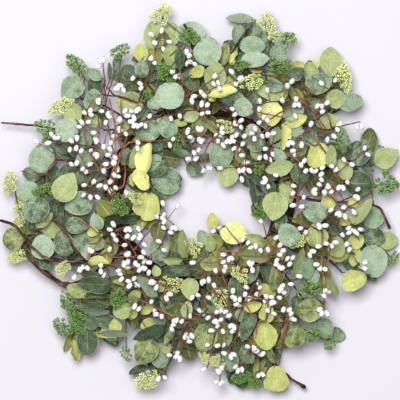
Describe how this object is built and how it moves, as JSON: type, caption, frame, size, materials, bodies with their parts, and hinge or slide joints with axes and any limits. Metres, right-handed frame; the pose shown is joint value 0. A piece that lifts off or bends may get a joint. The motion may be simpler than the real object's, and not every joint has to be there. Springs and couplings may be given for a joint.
{
  "type": "eucalyptus wreath",
  "caption": "Round wreath of rounded blue-green, olive and lime eucalyptus leaves with white berries and umbel seed heads on a grapevine ring.",
  "frame": {"origin": "centre of the overall width and height of the wreath, at the level of the ring's pressed-flat back, which it lies on", "axes": "+Z out of the wreath's front, away from the wall or table behind it; +Y up as it hangs; +X to the viewer's right from in front"},
  "size_m": [0.6032, 0.5812, 0.0982],
  "materials": {
    "vine": "dark weathered grapevine bark",
    "dark_twig": "dark reddish-brown twig bark",
    "blue": "matt blue-green leaf with a frosted bloom and fine veins",
    "olive": "satin olive to light olive leaf with yellow veins",
    "lime": "satin yellow-lime leaf",
    "berry": "white satin berries on red-brown twigs",
    "green_head": "matt mid-green seed clusters",
    "lime_head": "matt lime-yellow seed clusters"
  },
  "bodies": {
    "root": {"berry_spray_1": "berry", "berry_spray_2": "berry", "berry_spray_3": "berry", "berry_spray_4": "berry", "berry_spray_5": "berry", "berry_spray_6": "berry", "berry_spray_7": "berry", "berry_spray_8": "berry", "blue_spray_1": "blue", "blue_spray_2": "blue", "blue_spray_3": "blue", "blue_spray_4": "blue", "blue_spray_5": "blue", "blue_spray_6": "blue", "blue_spray_7": "blue", "blue_spray_8": "blue", "blue_spray_9": "blue", "blue_spray_10": "blue", "blue_spray_11": "blue", "blue_spray_12": "blue", "blue_spray_13": "blue", "blue_spray_14": "blue", "blue_spray_15": "blue", "dark_twig_1": "dark_twig", "dark_twig_2": "dark_twig", "dark_twig_3": "dark_twig", "dark_twig_4": "dark_twig", "dark_twig_5": "dark_twig", "green_head_spray_1": "green_head", "green_head_spray_2": "green_head", "green_head_spray_3": "green_head", "green_head_spray_4": "green_head", "green_head_spray_5": "green_head", "green_head_spray_6": "green_head", "lime_head_spray_1": "lime_head", "lime_head_spray_2": "lime_head", "lime_head_spray_3": "lime_head", "lime_head_spray_4": "lime_head", "lime_spray_1": "lime", "lime_spray_2": "lime", "lime_spray_3": "lime", "lime_spray_4": "lime", "lime_spray_5": "lime", "lime_spray_6": "lime", "lime_spray_7": "lime", "lime_spray_8": "lime", "olive_spray_1": "olive", "olive_spray_2": "olive", "olive_spray_3": "olive", "olive_spray_4": "olive", "olive_spray_5": "olive", "olive_spray_6": "olive", "olive_spray_7": "olive", "olive_spray_8": "olive", "olive_spray_9": "olive", "olive_spray_10": "olive", "vine_ring": "vine"}
  },
  "joints": []
}
